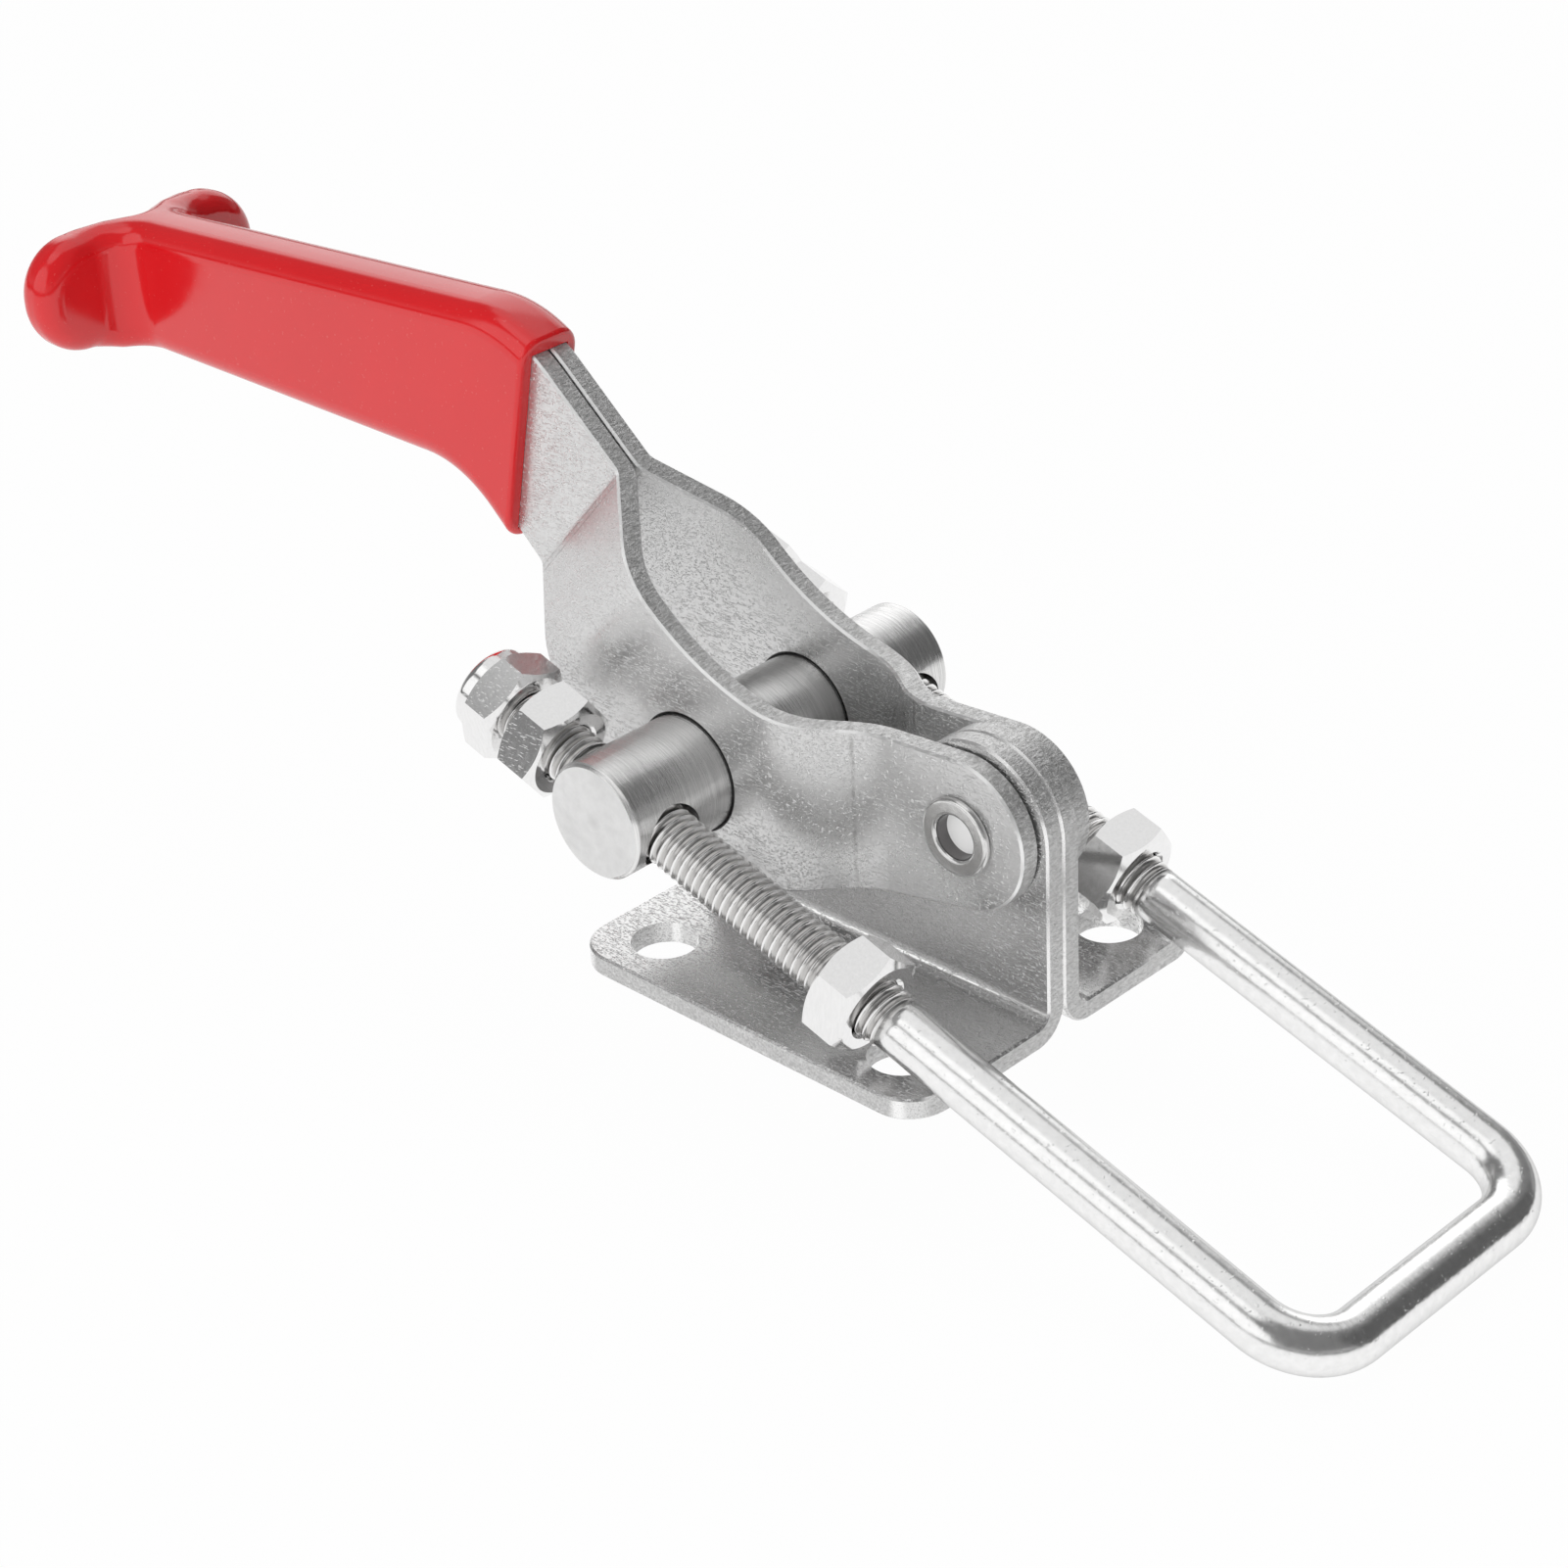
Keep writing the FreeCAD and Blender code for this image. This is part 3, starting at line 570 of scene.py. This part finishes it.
# Panels of the studio: direction, cosines of the rim and of the full part, level
PANELS = [
    ((0.690, 0.637, 0.345), 0.83, 0.90, 0.11),      # dark, to the camera's right
    ((-0.620, 0.680, 0.390), 0.84, 0.93, 1.40),     # beyond the latch
    ((-0.200, -0.940, 0.270), 0.80, 0.87, 1.10),    # to the camera's left
    ((-0.150, -0.270, 0.950), 0.93, 0.965, 1.15),   # overhead, near side
    ((-0.170, 0.280, 0.945), 0.86, 0.92, 0.85),     # overhead, far side
]


def floor():
    """A pale floor that takes shadows and looks nearly white to the camera and in the metal."""
    mesh = bpy.data.meshes.new("floor")
    corners = [(-FLOOR_HALF, -FLOOR_HALF), (FLOOR_HALF, -FLOOR_HALF), (FLOOR_HALF, FLOOR_HALF),
               (-FLOOR_HALF, FLOOR_HALF)]
    mesh.from_pydata([(x, y, FLOOR_Z) for x, y in corners], [], [(0, 1, 2, 3)])
    obj = bpy.data.objects.new("floor", mesh)
    bpy.context.scene.collection.objects.link(obj)
    t = Material("floor")
    matte = t.add("ShaderNodeBsdfDiffuse", {"Color": (0.84, 0.84, 0.84, 1)})
    glow = t.add("ShaderNodeEmission", {"Color": WHITE, "Strength": 1.0})
    path = t.add("ShaderNodeLightPath").outputs
    seen = t.most([path[k] for k in ("Is Camera Ray", "Is Glossy Ray", "Is Transmission Ray")])
    mix = t.add("ShaderNodeMixShader", {0: t.times(seen, 0.97), 1: matte.outputs[0], 2: glow.outputs[0]})
    mesh.materials.append(t.finish(mix))


def world():
    """White to the camera; to everything else a grey sky with the studio's panels."""
    w = bpy.data.worlds.new("world")
    bpy.context.scene.world = w
    w.use_nodes = True
    t = Tree(w.node_tree)
    way = t.add("ShaderNodeTexCoord").outputs["Generated"]
    height = t.split(way)[2]
    level = t.fit(height, 0.0, 0.30, 0.62, 0.20)
    for direction, rim, full, value in PANELS:
        mask = t.fit(t.vector("DOT_PRODUCT", way, direction)["Value"], rim, full, smooth=True)
        level = t.plus(level, t.times(mask, t.minus(value, level)))
    # the gap between the floor and the panels
    level = t.times(level, t.fit(height, 0.075, 0.115, 0.20, 1.0))
    sky = t.add("ShaderNodeBackground", {"Color": WHITE, "Strength": level})
    white = t.add("ShaderNodeBackground", {"Color": WHITE})
    seen = t.add("ShaderNodeLightPath").outputs["Is Camera Ray"]
    mix = t.add("ShaderNodeMixShader", {0: seen, 1: sky.outputs[0], 2: white.outputs[0]})
    t.add("ShaderNodeOutputWorld", {"Surface": mix.outputs[0]})


def lamp(name, place, size, power):
    """A soft box aimed at the latch, which the metal doesn't mirror."""
    data = bpy.data.lights.new(name, "AREA")
    data.shape = "RECTANGLE"
    data.size, data.size_y = size
    data.energy = power
    obj = bpy.data.objects.new(name, data)
    obj.location = place
    obj.rotation_euler = (-Vector(place)).to_track_quat("-Z", "Y").to_euler()
    obj.visible_glossy = False
    bpy.context.scene.collection.objects.link(obj)


photo_camera()
floor()
world()
lamp("top_box", (-0.15, 0.25, 0.95), (0.9, 0.6), 2.0)
lamp("front_box", (0.45, -1.0, 0.25), (0.6, 0.5), 6.5)

bpy.context.scene.view_settings.view_transform = "Standard"
